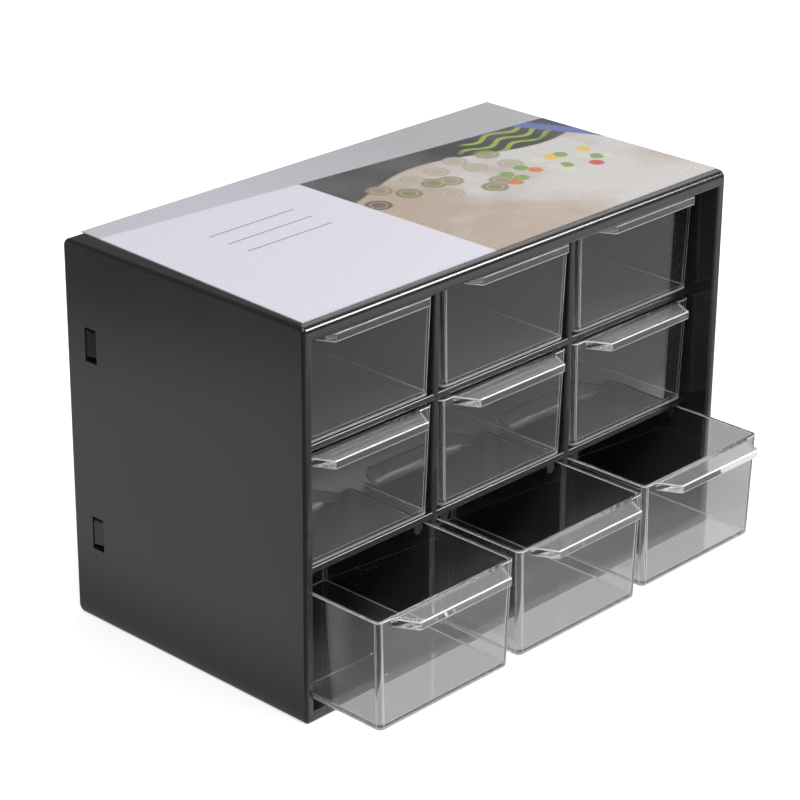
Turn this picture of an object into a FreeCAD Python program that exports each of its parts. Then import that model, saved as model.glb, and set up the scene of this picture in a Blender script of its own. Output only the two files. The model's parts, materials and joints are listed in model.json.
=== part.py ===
import FreeCAD, Part
import os

# Desktop cabinet with nine clear drawers.
# X runs to the right, the front faces -Y, Z is up, and the origin is the middle of the base.

# Cabinet body
bodyWidth = 181.0
bodyDepth = 98.5
bodyHeight = 120.0
sideWall = 3.2
baseWall = 3.2
topWall = 4.9
frontTopRound = 2.5
rearTopRound = 2.5
rearBaseRound = 2.5
frontBaseRound = 0.8
sideRound = 1.1
rimInnerRound = 1.1

# Grid of uprights and shelves, set back from the front rim
columnNames = ["left", "middle", "right"]
rowNames = ["bottom", "centre", "top"]
gridRecess = 8.8
outerCellExtra = 0.425
uprightThickness = 2.5
shelfThickness = 2.4
gridFloorHeight = 5.0
gridEdgeRound = 0.8

# Stop tabs behind the grid's front edge
tabWidth = 3.2
tabLength = 3.6
tabThickness = 1.5
tabInset = 4.3
tabClearance = 0.4

# Drawers
drawerSideClearance = 0.3
drawerFloorClearance = 0.3
drawerTopClearance = 0.7
drawerRearClearance = 0.95
drawerWall = 1.25
drawerFloor = 1.3
drawerSideDraft = 1.3
drawerFrontDraft = 0.3
drawerRearDraft = 0.8
drawerCornerRound = 2.0
drawerCornerInnerRound = 0.9
drawerBaseRound = 0.6
drawerInnerBaseRound = 0.5
drawerProud = 0.3

# Pull lip on each drawer front
lipReach = 7.1
lipThickness = 2.7
lipInset = 5.4
lipTaper = 3.8
lipEdgeRound = 0.5

# How far the bottom drawers stand open
leftPull = 32.3
middlePull = 31.3
rightPull = 29.4

# Back panel and its clips
rebateDepth = 2.2
rebateInset = 1.6
panelThickness = 1.8
panelClearance = 0.3
slotFromRear = 8.3
slotLength = 4.9
slotHeight = 10.6
upperSlotFromTop = 30.55
lowerSlotFromBase = 29.1
hookClearance = 0.2
hookGapAbove = 0.85
hookGapBelow = 1.4
hookArmThickness = 1.4
hookFaceInset = 0.4
hookRampDrop = 1.1
hookBevel = 0.8

# Printed card on the top
cardThickness = 0.35
cardFrontMargin = 2.9
cardRearMargin = 0.9
cardFrontLeftMargin = 2.2
cardRearLeftMargin = 6.4
cardRightMargin = 1.3

# Cuts run past the faces they open, and edges are picked within a small tolerance
overrun = 2.0
pickTolerance = 0.0002

# Places worked out from the sizes
frontFace = -bodyDepth / 2
rearFace = bodyDepth / 2
leftFace = -bodyWidth / 2
rightFace = bodyWidth / 2
innerHalfWidth = bodyWidth / 2 - sideWall
ceilingHeight = bodyHeight - topWall
gridFront = frontFace + gridRecess
gridHalfWidth = innerHalfWidth - outerCellExtra
columnPitch = (2 * gridHalfWidth + uprightThickness) / len(columnNames)
rowPitch = (ceilingHeight - gridFloorHeight + shelfThickness) / len(rowNames)
cellWidth = columnPitch - uprightThickness
cellHeight = rowPitch - shelfThickness
rebateFace = rearFace - rebateDepth
slotRearFace = rearFace - slotFromRear
slotFrontFace = slotRearFace - slotLength
slotCentres = [lowerSlotFromBase, bodyHeight - upperSlotFromTop]
hookTip = slotFrontFace + hookClearance
drawerTopWidth = cellWidth - 2 * drawerSideClearance
drawerHeight = cellHeight - drawerFloorClearance - drawerTopClearance
drawerFront = gridFront - drawerProud
drawerLength = hookTip - drawerRearClearance - drawerFront
tabFront = drawerFront + drawerWall + tabClearance
tabOffset = cellWidth / 2 - tabInset


def block(xLow, xHigh, yLow, yHigh, zLow, zHigh):
    corner = FreeCAD.Vector(xLow, yLow, zLow)
    return Part.makeBox(xHigh - xLow, yHigh - yLow, zHigh - zLow, corner)


def fuseAll(shapes):
    whole = shapes[0].multiFuse(shapes[1:])
    return whole.removeSplitter()


def edgesWhere(shape, test):
    return [edge for edge in shape.Edges if test(edge)]


def isAt(value, target):
    return abs(value - target) < pickTolerance


# True where the whole edge lies in one plane across the named axis
def liesAcross(edge, axis, place):
    box = edge.BoundBox
    low = getattr(box, axis + "Min")
    high = getattr(box, axis + "Max")
    return isAt(low, place) and isAt(high, place)


def columnCentre(column):
    return (column - (len(columnNames) - 1) / 2) * columnPitch


def rowFloor(row):
    return gridFloorHeight + row * rowPitch


def rowCeiling(row):
    return rowFloor(row) + cellHeight


def everyCell():
    return [(column, row) for row in range(len(rowNames)) for column in range(len(columnNames))]


# Cabinet body
def outerShell():
    shell = block(leftFace, rightFace, frontFace, rearFace, 0, bodyHeight)
    corners = [
        (frontFace, bodyHeight, frontTopRound),
        (rearFace, bodyHeight, rearTopRound),
        (rearFace, 0, rearBaseRound),
        (frontFace, 0, frontBaseRound),
    ]
    for yPlace, zPlace, radius in corners:
        edges = edgesWhere(shell, lambda e: liesAcross(e, "Y", yPlace) and liesAcross(e, "Z", zPlace))
        shell = shell.makeFillet(radius, edges)
    ends = edgesWhere(shell, lambda e: liesAcross(e, "X", leftFace) or liesAcross(e, "X", rightFace))
    return shell.makeFillet(sideRound, ends)


# One cell of the grid, open through to the back panel; the outer cells reach the side walls
def cellSpace(column, row):
    middle = columnCentre(column)
    xLow = middle - cellWidth / 2
    xHigh = middle + cellWidth / 2
    if column == 0:
        xLow = -innerHalfWidth
    if column == len(columnNames) - 1:
        xHigh = innerHalfWidth
    return block(xLow, xHigh, gridFront, rearFace, rowFloor(row), rowCeiling(row))


def slotSpace(side, centre):
    xInner = side * (innerHalfWidth - overrun)
    xOuter = side * (rightFace + overrun)
    low = centre - slotHeight / 2
    high = centre + slotHeight / 2
    return block(min(xInner, xOuter), max(xInner, xOuter), slotFrontFace, slotRearFace, low, high)


# Round-ended tab that hangs from a shelf or from the ceiling
def stopTab(xCentre, ceiling):
    radius = tabWidth / 2
    low = ceiling - tabLength
    plate = block(xCentre - radius, xCentre + radius, tabFront, tabFront + tabThickness,
                  low + radius, ceiling + shelfThickness / 2)
    end = Part.makeCylinder(radius, tabThickness, FreeCAD.Vector(xCentre, tabFront, low + radius),
                            FreeCAD.Vector(0, 1, 0))
    return plate.fuse(end)


def cabinetBody():
    body = outerShell()
    recess = block(-innerHalfWidth, innerHalfWidth, frontFace - overrun, gridFront, baseWall, ceilingHeight)
    body = body.cut(recess)
    rim = edgesWhere(body, lambda e: liesAcross(e, "Y", frontFace) and innerRimEdge(e))
    body = body.makeFillet(rimInnerRound, rim)
    for column, row in everyCell():
        body = body.cut(cellSpace(column, row))
    grid = edgesWhere(body, gridFrontEdge)
    body = body.makeFillet(gridEdgeRound, grid)
    rebateHalf = rightFace - rebateInset
    rebateTop = bodyHeight - rebateInset
    rebate = block(-rebateHalf, rebateHalf, rebateFace, rearFace + overrun, rebateInset, rebateTop)
    body = body.cut(rebate)
    for side in (-1, 1):
        for centre in slotCentres:
            body = body.cut(slotSpace(side, centre))
    tabs = []
    for column, row in everyCell():
        for side in (-1, 1):
            tabs.append(stopTab(columnCentre(column) + side * tabOffset, rowCeiling(row)))
    return fuseAll([body] + tabs)


def innerRimEdge(edge):
    box = edge.BoundBox
    insideX = box.XMin > leftFace + sideWall / 2 and box.XMax < rightFace - sideWall / 2
    insideZ = box.ZMin > baseWall / 2 and box.ZMax < bodyHeight - topWall / 2
    return insideX and insideZ


# Front edges of the uprights and shelves, clear of the side walls and the ceiling
def gridFrontEdge(edge):
    if not liesAcross(edge, "Y", gridFront):
        return False
    box = edge.BoundBox
    onWall = isAt(box.XMax, -innerHalfWidth) or isAt(box.XMin, innerHalfWidth)
    onCeiling = isAt(box.ZMin, ceilingHeight)
    onBase = isAt(box.ZMax, baseWall)
    return not (onWall or onCeiling or onBase)


# Rounded rectangle, its corners drawn as arcs
def roundedOutline(halfWidth, yLow, yHigh, radius, height):
    corners = [
        (halfWidth, yLow, 1, -1),
        (halfWidth, yHigh, 1, 1),
        (-halfWidth, yHigh, -1, 1),
        (-halfWidth, yLow, -1, -1),
    ]
    diagonal = radius * 0.5 ** 0.5
    edges = []
    previous = None
    first = None
    for x, y, sx, sy in corners:
        centreX = x - sx * radius
        centreY = y - sy * radius
        alongX = FreeCAD.Vector(centreX, y, height)
        alongY = FreeCAD.Vector(x, centreY, height)
        peak = FreeCAD.Vector(centreX + sx * diagonal, centreY + sy * diagonal, height)
        start, end = (alongX, alongY) if sx * sy < 0 else (alongY, alongX)
        if previous is not None:
            edges.append(Part.makeLine(previous, start))
        else:
            first = start
        edges.append(Part.Arc(start, peak, end).toShape())
        previous = end
    edges.append(Part.makeLine(previous, first))
    return Part.Wire(edges)


# Straight-sided tub that widens upwards by its drafts, closed above and below
def taperedTub(topHalfWidth, yFront, yRear, radius, zLow, zHigh):
    outlines = []
    for z in (zLow, zHigh):
        dropShare = (drawerHeight - z) / drawerHeight
        outlines.append(roundedOutline(
            topHalfWidth - drawerSideDraft * dropShare,
            yFront + drawerFrontDraft * dropShare,
            yRear - drawerRearDraft * dropShare,
            radius, z))
    return Part.makeLoft(outlines, True, True)


# Flat lip, narrower at its free edge, that grows out of the top of the drawer front
def pullLip():
    low = drawerHeight - lipThickness
    root = drawerWall / 2
    rootHalf = drawerTopWidth / 2 - lipInset
    tipHalf = rootHalf - lipTaper
    outline = [
        (-rootHalf, root),
        (-rootHalf, 0),
        (-tipHalf, -lipReach),
        (tipHalf, -lipReach),
        (rootHalf, 0),
        (rootHalf, root),
    ]
    points = [FreeCAD.Vector(x, y, low) for x, y in outline]
    face = Part.Face(Part.makePolygon(points + [points[0]]))
    lip = face.extrude(FreeCAD.Vector(0, 0, lipThickness))
    return lip.makeFillet(lipEdgeRound, edgesWhere(lip, lipFreeEdge))


# Level edges of the lip in front of the drawer's face
def lipFreeEdge(edge):
    box = edge.BoundBox
    inFront = box.YMax < pickTolerance and box.YMin < -lipReach / 2
    return inFront and box.ZLength < lipThickness / 2


# One drawer with its front at y = 0, its base at z = 0 and its middle at x = 0
def drawerShape():
    half = drawerTopWidth / 2
    outside = taperedTub(half, 0, drawerLength, drawerCornerRound, 0, drawerHeight)
    base = edgesWhere(outside, lambda e: liesAcross(e, "Z", 0))
    outside = outside.makeFillet(drawerBaseRound, base)
    inside = taperedTub(half - drawerWall, drawerWall, drawerLength - drawerWall,
                        drawerCornerInnerRound, drawerFloor, drawerHeight + overrun)
    pit = edgesWhere(inside, lambda e: liesAcross(e, "Z", drawerFloor))
    inside = inside.makeFillet(drawerInnerBaseRound, pit)
    tub = outside.fuse(pullLip()).cut(inside)
    return tub.removeSplitter()


def placedDrawer(shape, column, row, pull):
    drawer = shape.copy()
    place = FreeCAD.Vector(columnCentre(column), drawerFront - pull, rowFloor(row) + drawerFloorClearance)
    drawer.translate(place)
    return drawer


# Hook of the back panel: an arm along the wall and a ramped head that fills the slot
def panelHook(side, centre):
    low = centre - slotHeight / 2 + hookGapBelow
    high = centre + slotHeight / 2 - hookGapAbove
    armOuter = innerHalfWidth - hookClearance
    armInner = armOuter - hookArmThickness
    headOuter = rightFace - hookFaceInset
    headRear = slotRearFace - hookClearance
    outline = [
        (armInner, rebateFace),
        (armInner, hookTip),
        (headOuter - hookRampDrop, hookTip),
        (headOuter, headRear),
        (armOuter, headRear),
        (armOuter, rebateFace),
    ]
    points = [FreeCAD.Vector(side * x, y, low) for x, y in outline]
    face = Part.Face(Part.makePolygon(points + [points[0]]))
    hook = face.extrude(FreeCAD.Vector(0, 0, high - low))
    upper = edgesWhere(hook, lambda e: liesAcross(e, "Z", high) and onRamp(e, headOuter - hookRampDrop))
    return hook.makeChamfer(hookBevel, upper)


def onRamp(edge, rampInner):
    box = edge.BoundBox
    return min(abs(box.XMin), abs(box.XMax)) > rampInner - pickTolerance


def backPanel():
    half = rightFace - rebateInset - panelClearance
    low = rebateInset + panelClearance
    high = bodyHeight - rebateInset - panelClearance
    plate = block(-half, half, rebateFace, rebateFace + panelThickness, low, high)
    hooks = [panelHook(side, centre) for side in (-1, 1) for centre in slotCentres]
    return fuseAll([plate] + hooks)


# Four-sided card; its left edge runs in a little towards the rear
def labelCard():
    yFront = frontFace + cardFrontMargin
    yRear = rearFace - cardRearMargin
    outline = [
        (leftFace + cardFrontLeftMargin, yFront),
        (rightFace - cardRightMargin, yFront),
        (rightFace - cardRightMargin, yRear),
        (leftFace + cardRearLeftMargin, yRear),
    ]
    points = [FreeCAD.Vector(x, y, bodyHeight) for x, y in outline]
    face = Part.Face(Part.makePolygon(points + [points[0]]))
    return face.extrude(FreeCAD.Vector(0, 0, cardThickness))


def writeNode(name, shape):
    shape.exportStep(os.path.join("parts", name + ".step"))
    print(name, "solids", len(shape.Solids), "valid", shape.isValid(), "volume", round(shape.Volume))


os.makedirs("parts", exist_ok=True)
writeNode("cabinet_body", cabinetBody())
writeNode("back_panel", backPanel())
writeNode("label_card", labelCard())
oneDrawer = drawerShape()
bottomPulls = [leftPull, middlePull, rightPull]
for column, row in everyCell():
    pull = bottomPulls[column] if row == 0 else 0
    name = "drawer_" + rowNames[row] + "_" + columnNames[column]
    writeNode(name, placedDrawer(oneDrawer, column, row, pull))
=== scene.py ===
import json
import math

import bmesh
import bpy
from mathutils import Matrix, Vector


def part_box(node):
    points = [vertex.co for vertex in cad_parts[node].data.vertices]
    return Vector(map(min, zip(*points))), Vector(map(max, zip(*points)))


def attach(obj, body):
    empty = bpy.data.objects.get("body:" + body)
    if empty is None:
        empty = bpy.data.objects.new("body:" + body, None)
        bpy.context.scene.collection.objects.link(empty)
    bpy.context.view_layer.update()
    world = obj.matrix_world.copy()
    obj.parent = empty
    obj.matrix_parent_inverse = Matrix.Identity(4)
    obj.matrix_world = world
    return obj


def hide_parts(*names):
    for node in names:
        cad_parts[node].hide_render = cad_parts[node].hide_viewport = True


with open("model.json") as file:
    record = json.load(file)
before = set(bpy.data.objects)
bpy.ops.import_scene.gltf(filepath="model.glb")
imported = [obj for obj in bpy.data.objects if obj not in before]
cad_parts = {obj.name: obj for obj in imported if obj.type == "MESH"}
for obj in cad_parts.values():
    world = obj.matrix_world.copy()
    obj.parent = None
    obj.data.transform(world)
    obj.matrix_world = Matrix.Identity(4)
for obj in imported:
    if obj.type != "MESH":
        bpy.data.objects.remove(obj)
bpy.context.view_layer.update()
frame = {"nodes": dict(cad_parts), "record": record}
bodies = frame["record"]["behaviour"]["bodies"]
mm = 0.001
print("frame loaded")


# Camera, from a fit to the cabinet's edges

cameraSettings = {
    "place": (-555.83, -526.67, 392.0),  # millimetres from the middle of the base
    "yaw": 46.444,  # degrees right of the straight-on view
    "pitch": -23.68,
    "roll": 0.439,
    "focalPixels": 2741.9,
    "imageWidth": 800.0,
    "sensor": 36.0,
}


def addCamera(settings):
    data = bpy.data.cameras.new("studioCamera")
    data.sensor_width = settings["sensor"]
    data.lens = settings["focalPixels"] / settings["imageWidth"] * settings["sensor"]
    data.clip_start = 0.01
    data.clip_end = 20.0
    camera = bpy.data.objects.new("studioCamera", data)
    bpy.context.scene.collection.objects.link(camera)
    turn = Matrix.Rotation(-math.radians(settings["yaw"]), 4, "Z")
    tilt = Matrix.Rotation(math.radians(90.0 + settings["pitch"]), 4, "X")
    roll = Matrix.Rotation(math.radians(settings["roll"]), 4, "Z")
    camera.matrix_world = Matrix.Translation(Vector(settings["place"]) * mm) @ turn @ tilt @ roll
    bpy.context.scene.camera = camera


addCamera(cameraSettings)
print("camera placed")


# Short ways to build a node tree

class Nodes:
    def __init__(self, tree):
        self.tree = tree
        tree.nodes.clear()

    def add(self, kind, **settings):
        node = self.tree.nodes.new(kind)
        for name, value in settings.items():
            setattr(node, name, value)
        return node

    def link(self, source, target):
        self.tree.links.new(source, target)

    def feed(self, socket, value):
        if isinstance(value, bpy.types.NodeSocket):
            self.link(value, socket)
        else:
            socket.default_value = value

    def math(self, operation, first, second=0.0):
        node = self.add("ShaderNodeMath", operation=operation)
        self.feed(node.inputs[0], first)
        self.feed(node.inputs[1], second)
        return node.outputs[0]

    def product(self, first, *others):
        for factor in others:
            first = self.math("MULTIPLY", first, factor)
        return first

    def total(self, first, *others):
        for term in others:
            first = self.math("ADD", first, term)
        return first

    def mix(self, share, first, second):
        node = self.add("ShaderNodeMix", data_type="RGBA")
        self.feed(node.inputs[0], share)
        self.feed(node.inputs[6], first)
        self.feed(node.inputs[7], second)
        return node.outputs[2]

    def mixShader(self, share, first, second):
        node = self.add("ShaderNodeMixShader")
        self.feed(node.inputs[0], share)
        self.link(first, node.inputs[1])
        self.link(second, node.inputs[2])
        return node.outputs[0]

    # Value between low and high, brought to between toLow and toHigh
    def span(self, value, low, high, toLow, toHigh, curve="LINEAR"):
        node = self.add("ShaderNodeMapRange", interpolation_type=curve)
        self.feed(node.inputs["Value"], value)
        node.inputs["From Min"].default_value = low
        node.inputs["From Max"].default_value = high
        node.inputs["To Min"].default_value = toLow
        node.inputs["To Max"].default_value = toHigh
        return node.outputs["Result"]

    # 1 between the inner two of four limits, fading to 0 at the outer two
    def window(self, value, limits):
        riseFrom, riseTo, fallFrom, fallTo = limits
        rise = self.span(value, riseFrom, riseTo, 0.0, 1.0)
        return self.product(rise, self.span(value, fallFrom, fallTo, 1.0, 0.0))

    def parts(self, vector):
        split = self.add("ShaderNodeSeparateXYZ")
        self.link(vector, split.inputs[0])
        return split.outputs["X"], split.outputs["Y"], split.outputs["Z"]

    # Noise in the part's own coordinates; size is its coarsest feature in millimetres
    def noise(self, place, size, detail=2.0, roughness=0.5):
        node = self.add("ShaderNodeTexNoise")
        self.link(place, node.inputs["Vector"])
        node.inputs["Scale"].default_value = 1.0 / (size * mm)
        node.inputs["Detail"].default_value = detail
        node.inputs["Roughness"].default_value = roughness
        return node.outputs["Fac"]

    def bump(self, height, distance, under=None):
        node = self.add("ShaderNodeBump")
        node.inputs["Strength"].default_value = 1.0
        node.inputs["Distance"].default_value = distance * mm
        self.link(height, node.inputs["Height"])
        if under is not None:
            self.link(under, node.inputs["Normal"])
        return node.outputs["Normal"]

    def place(self):
        return self.add("ShaderNodeTexCoord").outputs["Object"]

    def finish(self, shader, kind="ShaderNodeOutputMaterial"):
        self.link(shader, self.add(kind).inputs["Surface"])


def newMaterial(name):
    material = bpy.data.materials.new(name)
    material.use_nodes = True
    return material, Nodes(material.node_tree)


# Black moulded plastic

blackPlastic = {
    "colour": (0.0145, 0.0143, 0.0150, 1.0),
    "colourWorn": (0.0200, 0.0197, 0.0205, 1.0),
    "smoothest": 0.12,
    "roughest": 0.2,
    "ior": 1.55,
    "cloudSize": 38.0,  # millimetres, as all sizes and heights here
    "grainSize": 0.45,
    "waveSize": 30.0,
    "waveHeight": 0.035,
    "grainHeight": 0.0011,
}


def blackPlasticMaterial(name, finish):
    material, nodes = newMaterial(name)
    place = nodes.place()
    cloud = nodes.noise(place, finish["cloudSize"], 5.0, 0.6)
    grain = nodes.noise(place, finish["grainSize"], 2.0, 0.6)
    wave = nodes.noise(place, finish["waveSize"], 1.0, 0.4)
    shader = nodes.add("ShaderNodeBsdfPrincipled")
    worn = nodes.span(cloud, 0.35, 0.75, 0.0, 1.0)
    nodes.feed(shader.inputs["Base Color"], nodes.mix(worn, finish["colour"], finish["colourWorn"]))
    rough = nodes.span(cloud, 0.3, 0.7, finish["smoothest"], finish["roughest"])
    nodes.link(rough, shader.inputs["Roughness"])
    shader.inputs["IOR"].default_value = finish["ior"]
    waved = nodes.bump(wave, finish["waveHeight"])
    nodes.link(nodes.bump(grain, finish["grainHeight"], under=waved), shader.inputs["Normal"])
    nodes.finish(shader.outputs[0])
    return material


# Clear polystyrene of the drawers; lamp light passes it, a little dimmed

clearPlastic = {
    "colour": (0.975, 0.978, 0.985, 1.0),
    "smoothest": 0.0,
    "roughest": 0.03,
    "ior": 1.59,
    "lampTint": (0.66, 0.665, 0.67, 1.0),
    "smudgeSize": 16.0,  # millimetres
    "waveSize": 14.0,
    "waveHeight": 0.001,
    "hazeUpright": 0.006,  # share of the light that fine scuffs scatter, on walls
    "hazeLevel": 0.028,  # on floors, where dust settles
    "hazeLip": 0.052,  # more than that on the lips
    "paintedEdgeGlint": 0.72,  # painted highlight on the rounds of rim and lip
    "paintedUnderGlint": 0.95,  # painted highlight on the lip's lower round
    "paintedBaseGlint": 0.16,  # painted highlight on the rounds inside the base
    "paintedFootGlint": 0.36,  # painted highlight on the outside of the base
    "paintedCornerGlint": 0.34,  # painted highlight along both sides of each upright corner
    "levelTilt": (0.3, 0.95),  # upright part of the normal between which a face counts as level
    "roundTilt": (0.15, 0.4, 0.8, 0.97),  # and as a round
    "wallTilt": (0.1, 0.2),
    "flatTilt": (0.97, 0.99),
    "cornerTurn": (0.94, 0.965, 0.985, 0.996),  # larger level part of the normal beside a corner
    "lipFrom": (-0.3, -0.2),  # millimetres behind the drawer's front
    "footHeight": (0.8, 1.3),
}


# How much of the light scuffs and dust scatter, together with painted highlights: diffuse white on the
# rounds, beside the upright corners and on the outside of the base, standing in for glints
def dustAndPaintedGlints(nodes, finish, place, smudge, drawerHeight):
    _, behind, height = nodes.parts(place)
    normalX, normalY, normalZ = nodes.parts(nodes.add("ShaderNodeNewGeometry").outputs["Normal"])
    upward = nodes.math("ABSOLUTE", normalZ)
    sideways = nodes.math("MAXIMUM", nodes.math("ABSOLUTE", normalX), nodes.math("ABSOLUTE", normalY))

    # Dust on what lies level
    level = nodes.span(upward, *finish["levelTilt"], 0.0, 1.0)
    dust = nodes.product(level, nodes.span(smudge, 0.25, 0.75, 0.8, 1.2))
    plain = nodes.span(dust, 0.0, 1.0, finish["hazeUpright"], finish["hazeLevel"])
    lipFrom, lipTo = finish["lipFrom"]
    lip = nodes.product(dust, nodes.span(behind, lipFrom * mm, lipTo * mm, finish["hazeLip"], 0.0))

    # Painted highlights: the rounds of rim and lip in the upper half and of the base in the lower turn partly
    # diffuse white, standing in for the glints on them
    halfway = 0.5 * drawerHeight * mm
    high = nodes.span(height, halfway - mm, halfway + mm, 0.0, 1.0)
    upper = nodes.span(normalZ, -0.1, 0.1, finish["paintedUnderGlint"], finish["paintedEdgeGlint"])
    lower = nodes.product(nodes.math("SUBTRACT", 1.0, high), finish["paintedBaseGlint"])
    roundGlint = nodes.total(nodes.product(high, upper), lower)
    rounds = nodes.product(nodes.window(upward, finish["roundTilt"]), roundGlint)

    # Painted highlight: thin diffuse white lines beside each upright corner, standing in for its glints
    corners = nodes.product(nodes.window(sideways, finish["cornerTurn"]), finish["paintedCornerGlint"],
                            nodes.span(upward, *finish["wallTilt"], 1.0, 0.0))
    # Painted highlight: a diffuse white band low on the outside of the base
    footFrom, footTo = finish["footHeight"]
    foot = nodes.product(nodes.span(height, footFrom * mm, footTo * mm, finish["paintedFootGlint"], 0.0),
                         nodes.span(upward, *finish["flatTilt"], 1.0, 0.0))
    return nodes.math("MAXIMUM", nodes.total(plain, lip, rounds, corners), foot)


def clearPlasticMaterial(name, finish, drawerHeight):
    material, nodes = newMaterial(name)
    place = nodes.place()
    smudge = nodes.noise(place, finish["smudgeSize"], 6.0, 0.65)
    wave = nodes.noise(place, finish["waveSize"], 1.0, 0.4)
    haze = dustAndPaintedGlints(nodes, finish, place, smudge, drawerHeight)
    shader = nodes.add("ShaderNodeBsdfPrincipled")
    shader.inputs["Base Color"].default_value = finish["colour"]
    shader.inputs["IOR"].default_value = finish["ior"]
    nodes.link(nodes.math("SUBTRACT", 1.0, haze), shader.inputs["Transmission Weight"])
    rough = nodes.span(smudge, 0.45, 0.75, finish["smoothest"], finish["roughest"])
    nodes.link(rough, shader.inputs["Roughness"])
    nodes.link(nodes.bump(wave, finish["waveHeight"]), shader.inputs["Normal"])
    through = nodes.add("ShaderNodeBsdfTransparent")
    through.inputs["Color"].default_value = finish["lampTint"]
    lampRay = nodes.add("ShaderNodeLightPath").outputs["Is Shadow Ray"]
    nodes.finish(nodes.mixShader(lampRay, shader.outputs[0], through.outputs[0]))
    return material


# Drawer, drawn once: an open tub with a flat pull lip on its front edge, in millimetres.
# The front is at y = 0, the base at z = 0 and the middle at x = 0.

drawerForm = {
    "wall": 1.25,
    "floor": 1.3,
    "sideDraft": 1.3,
    "frontDraft": 0.3,
    "rearDraft": 0.8,
    "outerCorner": 2.0,
    "innerCorner": 0.9,
    "baseRound": 0.5,
    "innerBaseRound": 0.5,
    "rimRound": 0.3,
    "cornerSteps": 10,
    "roundSteps": 6,
}

lipForm = {
    "reach": 7.1,
    "thickness": 2.7,
    "inset": 5.4,  # from the drawer's side to the lip's root
    "taper": 3.8,  # from its root to its free edge
    "edgeRound": 0.5,
    "cornerRound": 0.6,
    "steps": 5,
}


def drawerSize(node):
    low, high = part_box(node)
    size = (high - low) / mm
    return {"halfWidth": size.x / 2, "length": size.y - lipForm["reach"], "height": size.z}


# Points of a rounded rectangle at height z, set in from the drafted outside by inset
def drawerRing(size, form, z, inset, radius):
    drop = 1.0 - z / size["height"]
    half = size["halfWidth"] - form["sideDraft"] * drop - inset
    front = form["frontDraft"] * drop + inset
    rear = size["length"] - form["rearDraft"] * drop - inset
    centres = [
        (half - radius, front + radius, -90.0),
        (half - radius, rear - radius, 0.0),
        (-half + radius, rear - radius, 90.0),
        (-half + radius, front + radius, 180.0),
    ]
    points = []
    for x, y, start in centres:
        for step in range(form["cornerSteps"] + 1):
            angle = math.radians(start + 90.0 * step / form["cornerSteps"])
            points.append(Vector((x + radius * math.cos(angle), y + radius * math.sin(angle), z)))
    return points


# Pairs of (height, inset), up the outside from the base, over the rim and down the inside
def drawerProfile(size, form):
    steps = form["roundSteps"]
    height = size["height"]
    wall = form["wall"]
    profile = []

    def arc(centreHeight, centreInset, radius, start, end):
        for step in range(steps + 1):
            angle = math.radians(start + (end - start) * step / steps)
            rise = radius * math.sin(angle)
            profile.append((centreHeight + rise, centreInset + radius * math.cos(angle)))

    arc(form["baseRound"], form["baseRound"], form["baseRound"], 270.0, 180.0)
    arc(height - form["rimRound"], form["rimRound"], form["rimRound"], 180.0, 90.0)
    arc(height - form["rimRound"], wall - form["rimRound"], form["rimRound"], 90.0, 0.0)
    floorRound = form["innerBaseRound"]
    arc(form["floor"] + floorRound, wall + floorRound, floorRound, 180.0, 270.0)
    return profile


def meshFromBmesh(name, shape):
    bmesh.ops.recalc_face_normals(shape, faces=shape.faces)
    mesh = bpy.data.meshes.new(name)
    shape.to_mesh(mesh)
    shape.free()
    for face in mesh.polygons:
        face.use_smooth = True
    return mesh


def loftRings(name, rings):
    shape = bmesh.new()
    loops = [[shape.verts.new(point * mm) for point in ring] for ring in rings]
    for lower, upper in zip(loops, loops[1:]):
        count = len(lower)
        for i in range(count):
            shape.faces.new((lower[i], lower[(i + 1) % count], upper[(i + 1) % count], upper[i]))
    shape.faces.new(loops[0][::-1])
    shape.faces.new(loops[-1])
    return meshFromBmesh(name, shape)


def tubMesh(size, form):
    rings = []
    for z, inset in drawerProfile(size, form):
        share = min(max(inset / form["wall"], 0.0), 1.0)
        radius = form["outerCorner"] + (form["innerCorner"] - form["outerCorner"]) * share
        rings.append(drawerRing(size, form, z, inset, radius))
    return loftRings("drawerTub", rings)


# Plan of the lip, set in from its free edges; the root stays inside the drawer's front wall
def lipRing(size, form, z, inset):
    rootHalf = size["halfWidth"] - form["inset"]
    tipHalf = rootHalf - form["taper"]
    slope = math.hypot(form["taper"], form["reach"])
    sideways = inset * slope / form["reach"]
    tipX = tipHalf - sideways + inset * form["taper"] / form["reach"]
    rootX = rootHalf - sideways
    root = drawerForm["wall"] / 2
    front = -form["reach"] + inset
    corner = max(form["cornerRound"] - inset, 0.05)
    along = Vector((form["taper"], form["reach"], 0.0)) / slope
    cut = corner * 0.7
    points = [
        Vector((-rootX, root, z)),
        Vector((-rootX, 0.0, z)),
    ]
    alongLeft = Vector((-along.x, along.y, 0.0))
    points += roundCorner(Vector((-tipX, front, z)), alongLeft, Vector((1, 0, 0)), cut)
    points += roundCorner(Vector((tipX, front, z)), Vector((-1, 0, 0)), along, cut)
    points += [
        Vector((rootX, 0.0, z)),
        Vector((rootX, root, z)),
    ]
    return points


# Quadratic curve that rounds a corner between two directions
def roundCorner(corner, before, after, cut, steps=4):
    start = corner + before * cut
    end = corner + after * cut
    points = []
    for step in range(steps + 1):
        t = step / steps
        points.append(start * (1 - t) ** 2 + corner * 2 * t * (1 - t) + end * t ** 2)
    return points


def lipMesh(size, form):
    top = size["height"]
    low = top - form["thickness"]
    radius = form["edgeRound"]
    rings = []
    for centre, start, end in ((low + radius, -90.0, 0.0), (top - radius, 0.0, 90.0)):
        for step in range(form["steps"] + 1):
            angle = math.radians(start + (end - start) * step / form["steps"])
            inset = radius - radius * math.cos(angle)
            rings.append(lipRing(size, form, centre + radius * math.sin(angle), inset))
    return loftRings("drawerLip", rings)


# The mesh that an object shows once its modifiers are applied
def appliedMesh(piece):
    bpy.context.view_layer.update()
    return bpy.data.meshes.new_from_object(piece.evaluated_get(bpy.context.evaluated_depsgraph_get()))


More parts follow.
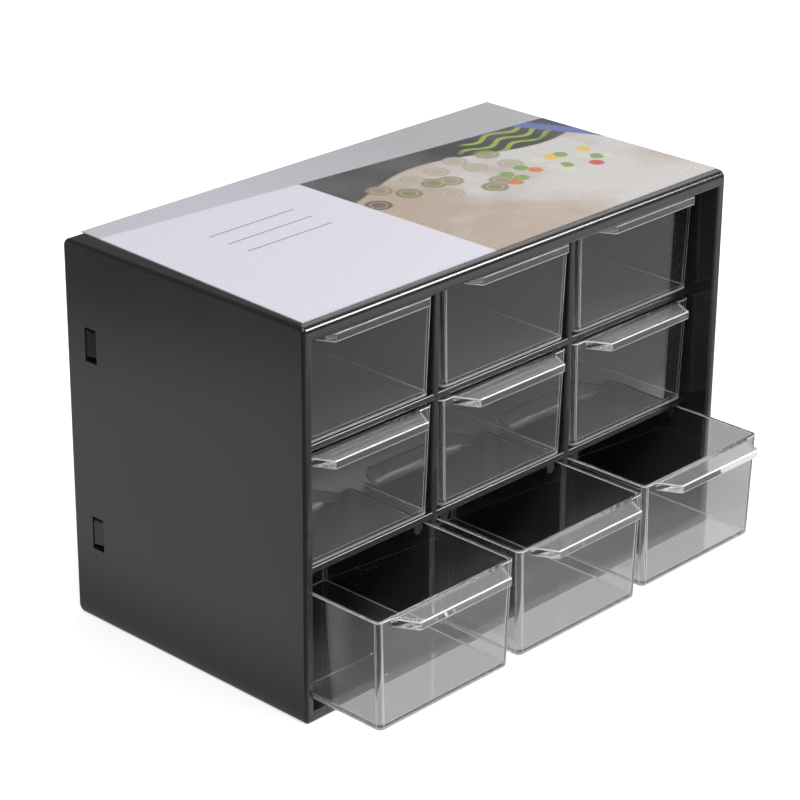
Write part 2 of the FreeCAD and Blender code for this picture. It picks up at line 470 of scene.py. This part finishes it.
def joinedMesh(name, first, second):
    base = bpy.data.objects.new("joinBase", first)
    other = bpy.data.objects.new("joinOther", second)
    for piece in (base, other):
        bpy.context.scene.collection.objects.link(piece)
    union = base.modifiers.new("union", "BOOLEAN")
    union.operation = "UNION"
    union.solver = "EXACT"
    union.object = other
    joined = appliedMesh(base)
    for piece in (base, other):
        bpy.data.objects.remove(piece)
    mesh = flatFaced(joined)
    mesh.name = name
    return mesh


# Keeps the flat faces flat: corners shade sharp, and only the small rounds shade smooth
def flatFaced(mesh, sharpest=33.0):
    shape = bmesh.new()
    shape.from_mesh(mesh)
    for face in shape.faces:
        face.smooth = True
    for edge in shape.edges:
        edge.smooth = edge.calc_face_angle(0.0) < math.radians(sharpest)
    shape.to_mesh(mesh)
    shape.free()
    piece = bpy.data.objects.new("evenPiece", mesh)
    bpy.context.scene.collection.objects.link(piece)
    even = piece.modifiers.new("evenNormals", "WEIGHTED_NORMAL")
    even.keep_sharp = True
    even.weight = 100
    evened = appliedMesh(piece)
    bpy.data.objects.remove(piece)
    return evened


def addDrawers(finish):
    names = [body for body in bodies if body.startswith("drawer_")]
    size = drawerSize(names[0])
    material = clearPlasticMaterial("clearDrawerPlastic", finish, size["height"])
    mesh = joinedMesh("clearDrawer", tubMesh(size, drawerForm), lipMesh(size, lipForm))
    mesh.materials.clear()
    mesh.materials.append(material)
    for name in names:
        low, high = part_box(name)
        piece = bpy.data.objects.new("clear_" + name, mesh)
        bpy.context.scene.collection.objects.link(piece)
        piece.location = ((low.x + high.x) / 2, low.y + lipForm["reach"] * mm, low.z)
        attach(piece, name)
        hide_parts(name)
    print("drawers built:", len(names), "faces each:", len(mesh.polygons))


# Printed card on the top, a plain design of the maker's own

cardPrint = {
    "paper": (0.72, 0.705, 0.785, 1.0),
    "rule": (0.30, 0.29, 0.32, 1.0),
    "strip": (0.55, 0.54, 0.60, 1.0),
    "stripPale": (0.44, 0.43, 0.45, 1.0),
    "beige": (0.47, 0.38, 0.31, 1.0),
    "pale": (0.60, 0.58, 0.57, 1.0),
    "charcoal": (0.055, 0.052, 0.055, 1.0),
    "charcoalPale": (0.13, 0.12, 0.12, 1.0),
    "leaf": (0.30, 0.40, 0.08, 1.0),
    "ribbon": (0.14, 0.18, 0.42, 1.0),
    "panelEdge": -12.0,  # millimetres, right side of the white panel
    "ruleAcross": (-62.0, -61.5, -28.5, -28.0),  # where the ruled lines fade in and out
    "ruleAlong": (-1.0, -0.5, 22.5, 23.0),
    "ruleMiddle": 8.6,
    "ruleSpacing": 8.0,
    "ruleThin": 0.972,  # sine above which a line shows
    "stripFront": 32.0,
    "stripFall": -0.09,
    "stripFade": (-40.0, 40.0),
    "cloudSize": 34.0,
    "warmFade": (-12.0, 60.0),
    "bandEdge": 13.0,
    "bandWave": (96.0, 6.0),  # length and height
    "leafZone": (64.0, 18.0, 22.0, 9.0),  # middle and half sizes of an oval
    "leafWave": (17.0, 1.6),
    "leafSpacing": 5.5,
    "ribbonSlant": 0.5,
    "ribbonAcross": (88.0, 88.5, 94.0, 94.5),
    "ribbonFront": -4.0,
    "gloss": 0.24,
    "fibreSize": 0.5,
    "fibreHeight": 0.001,
    "curlSize": 70.0,
    "curlHeight": 0.3,
    "buttonZone": (24.0, 3.0, 34.0, 14.0),
    "buttonSize": 11.0,
    "buttonScatter": 0.6,
    "buttonWide": 0.38,  # share of the spacing
    "ringWide": (0.18, 0.22, 0.25, 0.28),
    "ringShare": 0.35,
    "beadZone": (58.0, -9.0, 24.0, 9.0),
    "beadSize": 6.5,
    "beadScatter": 0.75,
    "beadWide": 0.37,
    "buttons": [
        (0.0, (0.33, 0.24, 0.16, 1.0)),
        (0.25, (0.16, 0.11, 0.08, 1.0)),
        (0.5, (0.44, 0.38, 0.30, 1.0)),
        (0.7, (0.24, 0.22, 0.10, 1.0)),
    ],
    "beads": [
        (0.0, (0.20, 0.34, 0.07, 1.0)),
        (0.3, (0.55, 0.06, 0.04, 1.0)),
        (0.5, (0.74, 0.50, 0.05, 1.0)),
        (0.65, (0.60, 0.20, 0.05, 1.0)),
        (0.8, (0.62, 0.66, 0.50, 1.0)),
    ],
}


class CardNodes(Nodes):
    # X and Y of a place, in millimetres
    def across(self, place):
        x, y, _ = self.parts(place)
        return self.math("DIVIDE", x, mm), self.math("DIVIDE", y, mm)

    # 1 where value is past edge, with a soft step
    def past(self, value, edge, soft=0.5):
        return self.span(value, edge, edge + soft, 0.0, 1.0)

    # 1 where a place is inside an oval, fading at its rim
    def inOval(self, zone, x, y, soft):
        middleX, middleY, halfX, halfY = zone
        wide = self.math("POWER", self.math("DIVIDE", self.math("SUBTRACT", x, middleX), halfX), 2.0)
        deep = self.math("POWER", self.math("DIVIDE", self.math("SUBTRACT", y, middleY), halfY), 2.0)
        return self.span(self.math("ADD", wide, deep), 1.0 - soft, 1.0, 1.0, 0.0)

    # A wave across value, from -height to height millimetres
    def wave(self, value, length, height):
        turn = self.math("MULTIPLY", value, 2 * math.pi / length)
        return self.math("MULTIPLY", self.math("SINE", turn), height)

    # Whole round spots of several colours, where their middles are in the kind's zone
    def spots(self, place, look, kind):
        cells = self.add("ShaderNodeTexVoronoi", voronoi_dimensions="2D")
        self.link(place, cells.inputs["Vector"])
        cells.inputs["Scale"].default_value = 1.0 / (look[kind + "Size"] * mm)
        cells.inputs["Randomness"].default_value = look[kind + "Scatter"]
        ramp = self.add("ShaderNodeValToRGB")
        ramp.color_ramp.interpolation = "CONSTANT"
        for i, (at, colour) in enumerate(look[kind + "s"]):
            stop = ramp.color_ramp.elements[i] if i < 2 else ramp.color_ramp.elements.new(at)
            stop.position = at
            stop.color = colour
        self.link(self.parts(cells.outputs["Color"])[0], ramp.inputs["Fac"])
        away = cells.outputs["Distance"]
        wide = look[kind + "Wide"]
        middleX, middleY = self.across(cells.outputs["Position"])
        shown = self.product(self.span(away, wide - 0.03, wide + 0.03, 0.9, 0.0),
                             self.inOval(look[kind + "Zone"], middleX, middleY, 0.02))
        return ramp.outputs["Color"], shown, away


def cardPicture(nodes, look, place, x, y):
    cloud = nodes.noise(place, look["cloudSize"], 3.0)
    warm = nodes.total(cloud, nodes.span(x, *look["warmFade"], 0.1, -0.12))
    picture = nodes.mix(nodes.span(warm, 0.38, 0.62, 0.0, 1.0), look["pale"], look["beige"])

    # Charcoal band with a curved front edge, along the rear
    rear = nodes.math("SUBTRACT", y, nodes.wave(x, *look["bandWave"]))
    charcoal = nodes.mix(nodes.span(cloud, 0.4, 0.7, 0.0, 1.0), look["charcoal"], look["charcoalPale"])
    picture = nodes.mix(nodes.past(rear, look["bandEdge"], 1.0), picture, charcoal)

    # Wooden buttons with a paler ring
    wood, shown, away = nodes.spots(place, look, "button")
    ring = nodes.product(nodes.window(away, look["ringWide"]), look["ringShare"])
    picture = nodes.mix(shown, picture, nodes.mix(ring, wood, look["pale"]))

    # Green ripples
    ripple = nodes.total(y, nodes.wave(x, *look["leafWave"]))
    stripes = nodes.past(nodes.wave(ripple, look["leafSpacing"], 1.0), 0.35, 0.2)
    streaks = nodes.product(stripes, nodes.inOval(look["leafZone"], x, y, 0.4))
    picture = nodes.mix(streaks, picture, look["leaf"])

    # Beads scattered over one end
    glass, shown, _ = nodes.spots(place, look, "bead")
    picture = nodes.mix(shown, picture, glass)

    # Ribbon across the rear right corner
    slant = nodes.total(x, nodes.product(y, look["ribbonSlant"]))
    ribbon = nodes.product(nodes.window(slant, look["ribbonAcross"]), nodes.past(y, look["ribbonFront"], 3.0))
    return nodes.mix(ribbon, picture, look["ribbon"])


# White, with three ruled lines
def cardPanel(nodes, look, x, y):
    level = nodes.wave(nodes.math("SUBTRACT", y, look["ruleMiddle"]), look["ruleSpacing"], 1.0)
    lines = nodes.product(nodes.past(level, look["ruleThin"], 0.01),
                          nodes.window(y, look["ruleAlong"]), nodes.window(x, look["ruleAcross"]))
    return nodes.mix(lines, look["paper"], look["rule"])


def cardMaterial(name, look):
    material, _ = newMaterial(name)
    nodes = CardNodes(material.node_tree)
    place = nodes.place()
    x, y = nodes.across(place)
    picture = cardPicture(nodes, look, place, x, y)
    colour = nodes.mix(nodes.past(x, look["panelEdge"], 0.4), cardPanel(nodes, look, x, y), picture)

    # Pale strip along the rear
    strip = nodes.mix(nodes.span(x, *look["stripFade"], 0.0, 1.0), look["strip"], look["stripPale"])
    behind = nodes.math("SUBTRACT", y, nodes.product(x, look["stripFall"]))
    colour = nodes.mix(nodes.past(behind, look["stripFront"]), colour, strip)

    shader = nodes.add("ShaderNodeBsdfPrincipled")
    nodes.link(colour, shader.inputs["Base Color"])
    fibre = nodes.noise(place, look["fibreSize"], 4.0, 0.6)
    nodes.link(nodes.span(fibre, 0.3, 0.7, look["gloss"], look["gloss"] + 0.06), shader.inputs["Roughness"])
    curled = nodes.bump(nodes.noise(place, look["curlSize"], 1.0), look["curlHeight"])
    nodes.link(nodes.bump(fibre, look["fibreHeight"], under=curled), shader.inputs["Normal"])
    nodes.finish(shader.outputs[0])
    return material


# Floor, world and lamps

studio = {
    "floorSide": 6.0,
    "floorAlbedo": 0.80,
    "floorLift": 0.58,  # light added for the camera, so that the floor reads white
    "floorThrough": 0.40,  # the floor as it is seen through the drawers
    "farShare": 0.5,  # share of that left far in front
    "farFade": (0.27, 0.40),  # metres, from near to far
    "worldPlain": 0.40,
    "worldThrough": 0.85,  # as the clear plastic shows it
    "horizonGloss": 0.20,
    "zenithGloss": 0.18,
    "skyFade": (0.52, 0.68),  # sines of the elevations between which the glossy sky fades
}

# The floor as the plastic mirrors it; limits in metres
mirroredFloor = {
    "front": 0.42,
    "right": 0.30,  # added to its right
    "rightX": (0.05, 0.2),
    "left": 0.34,  # and to its left
    "leftX": (-0.13, -0.09),
    "behind": 0.60,  # beside the right wall
    "behindX": (0.02, 0.10),
    "behindY": (-0.11, -0.08),
    "near": 0.75,  # in front of the open drawers
    "nearStartX": (-0.095, -0.085),
    "nearEndX": (0.0, 0.12),
    "nearY": (-0.15, -0.135),
    "rim": 0.50,  # far in front, where the top of the rim mirrors it
    "rimY": (-0.234, -0.224),
    "edge": 0.50,  # beside the right edge
    "edgeX": (0.115, 0.135),
    "edgeY": (-0.118, -0.108),
    "shade": 0.75,  # share taken away beside the open left drawer
    "shadeSlope": 0.95,
    "shadeAlong": (-0.142, -0.136),
    "shadeX": (-0.115, -0.10),
    "farLeft": 0.38,  # share left far behind on the left
    "farSlope": 0.5,
    "farAlong": (-0.42, -0.27),
}


# Light that the camera sees the floor by: its own shading and the lift
def plainFloor(nodes, look, path):
    mottle = nodes.noise(nodes.place(), 400.0, 2.0)
    ground = nodes.add("ShaderNodeBsdfDiffuse")
    plain = nodes.span(mottle, 0.3, 0.7, look["floorAlbedo"] - 0.01, look["floorAlbedo"] + 0.01)
    nodes.link(plain, ground.inputs["Color"])
    lift = nodes.add("ShaderNodeEmission")
    nodes.link(nodes.product(path.outputs["Is Camera Ray"], look["floorLift"]), lift.inputs["Strength"])
    both = nodes.add("ShaderNodeAddShader")
    nodes.link(ground.outputs[0], both.inputs[0])
    nodes.link(lift.outputs[0], both.inputs[1])
    return both.outputs[0]


def mirroredLevel(nodes, floor, x, y):
    front = nodes.span(x, *floor["rightX"], floor["front"], floor["front"] + floor["right"], "SMOOTHSTEP")
    left = nodes.span(x, *floor["leftX"], floor["left"], 0.0, "SMOOTHSTEP")
    behind = nodes.product(nodes.span(x, *floor["behindX"], 0.0, floor["behind"]),
                           nodes.span(y, *floor["behindY"], 0.0, 1.0))
    near = nodes.product(nodes.span(x, *floor["nearEndX"], floor["near"], 0.0, "SMOOTHSTEP"),
                         nodes.span(x, *floor["nearStartX"], 0.0, 1.0),
                         nodes.span(y, *floor["nearY"], 0.0, 1.0))
    rim = nodes.span(y, *floor["rimY"], floor["rim"], 0.0)
    edge = nodes.product(nodes.span(x, *floor["edgeX"], 0.0, floor["edge"]),
                         nodes.span(y, *floor["edgeY"], 0.0, 1.0))
    slanted = nodes.total(y, nodes.product(x, floor["shadeSlope"]))
    shade = nodes.product(nodes.span(slanted, *floor["shadeAlong"], floor["shade"], 0.0),
                          nodes.span(x, *floor["shadeX"], 1.0, 0.0))
    along = nodes.math("SUBTRACT", x, nodes.product(y, floor["farSlope"]))
    fade = nodes.span(along, *floor["farAlong"], floor["farLeft"], 1.0, "SMOOTHSTEP")
    light = nodes.total(front, left, behind, near, rim, edge)
    return nodes.product(light, nodes.math("SUBTRACT", 1.0, shade), fade)


def floorMaterial(look, floor):
    material, nodes = newMaterial("studioFloor")
    path = nodes.add("ShaderNodeLightPath")
    x, y, _ = nodes.parts(nodes.place())
    mirrored = nodes.add("ShaderNodeEmission")
    nodes.link(mirroredLevel(nodes, floor, x, y), mirrored.inputs["Strength"])
    seen = nodes.mixShader(path.outputs["Is Glossy Ray"], plainFloor(nodes, look, path), mirrored.outputs[0])
    far = nodes.span(nodes.math("SUBTRACT", x, y), *look["farFade"], 1.0, look["farShare"], "SMOOTHSTEP")
    through = nodes.add("ShaderNodeEmission")
    nodes.link(nodes.product(far, look["floorThrough"]), through.inputs["Strength"])
    nodes.finish(nodes.mixShader(path.outputs["Is Transmission Ray"], seen, through.outputs[0]))
    return material


def addFloor(look):
    half = look["floorSide"] / 2
    mesh = bpy.data.meshes.new("studioFloor")
    corners = [(-half, -half, 0), (half, -half, 0), (half, half, 0), (-half, half, 0)]
    mesh.from_pydata(corners, [], [(0, 1, 2, 3)])
    mesh.materials.append(floorMaterial(look, mirroredFloor))
    floor = bpy.data.objects.new("studio_floor", mesh)
    bpy.context.scene.collection.objects.link(floor)


def addWorld(look):
    world = bpy.data.worlds.new("studioWorld")
    world.use_nodes = True
    bpy.context.scene.world = world
    nodes = Nodes(world.node_tree)
    path = nodes.add("ShaderNodeLightPath")
    _, _, upward = nodes.parts(nodes.add("ShaderNodeTexCoord").outputs["Generated"])
    sky = nodes.span(upward, *look["skyFade"], look["horizonGloss"], look["zenithGloss"], "SMOOTHSTEP")
    level = nodes.mix(path.outputs["Is Glossy Ray"], (look["worldPlain"],) * 3 + (1.0,), sky)
    level = nodes.mix(path.outputs["Is Transmission Ray"], level, (look["worldThrough"],) * 3 + (1.0,))
    level = nodes.mix(path.outputs["Is Camera Ray"], level, (1.0, 1.0, 1.0, 1.0))
    back = nodes.add("ShaderNodeBackground")
    nodes.link(level, back.inputs["Color"])
    nodes.finish(back.outputs[0], "ShaderNodeOutputWorld")


lamps = [
    {"name": "keyLamp", "place": (-0.85, -0.85, 1.35), "size": (0.35, 0.35), "radiance": 14.0},
    {"name": "rightStrip", "place": (0.94, -0.83, 0.88), "size": (0.45, 0.28), "radiance": 25.0},
    {"name": "rightBox", "place": (1.04, 0.43, 1.10), "size": (0.9, 0.85), "radiance": 1.7},
    {"name": "topLamp", "place": (0.0, -0.5, 1.5), "size": (0.8, 0.8), "radiance": 3.0},
]


def addLamps(settings):
    aim = Vector((0, 0, 0.05))
    for lamp in settings:
        data = bpy.data.lights.new(lamp["name"], "AREA")
        data.shape = "RECTANGLE"
        data.size, data.size_y = lamp["size"]
        data.energy = lamp["radiance"] * math.pi * data.size * data.size_y
        piece = bpy.data.objects.new(lamp["name"], data)
        bpy.context.scene.collection.objects.link(piece)
        place = Vector(lamp["place"])
        piece.location = place
        piece.rotation_euler = (aim - place).to_track_quat("-Z", "Y").to_euler()


# Light is passed on often enough inside the clear walls
bounceLimits = {"max_bounces": 24, "glossy_bounces": 16, "transmission_bounces": 20}

addFloor(studio)
addWorld(studio)
addLamps(lamps)
bpy.context.scene.view_settings.view_transform = "Standard"
for limit, count in bounceLimits.items():
    setattr(bpy.context.scene.cycles, limit, count)
print("studio set")


# Finishes on the CAD pieces

def dress(node, material):
    mesh = frame["nodes"][node].data
    mesh.materials.clear()
    mesh.materials.append(material)


dress("cabinet_body", blackPlasticMaterial("blackCabinetPlastic", blackPlastic))
dress("back_panel", blackPlasticMaterial("blackPanelPlastic", blackPlastic))
dress("label_card", cardMaterial("printedCard", cardPrint))
addDrawers(clearPlastic)
print("pieces dressed")
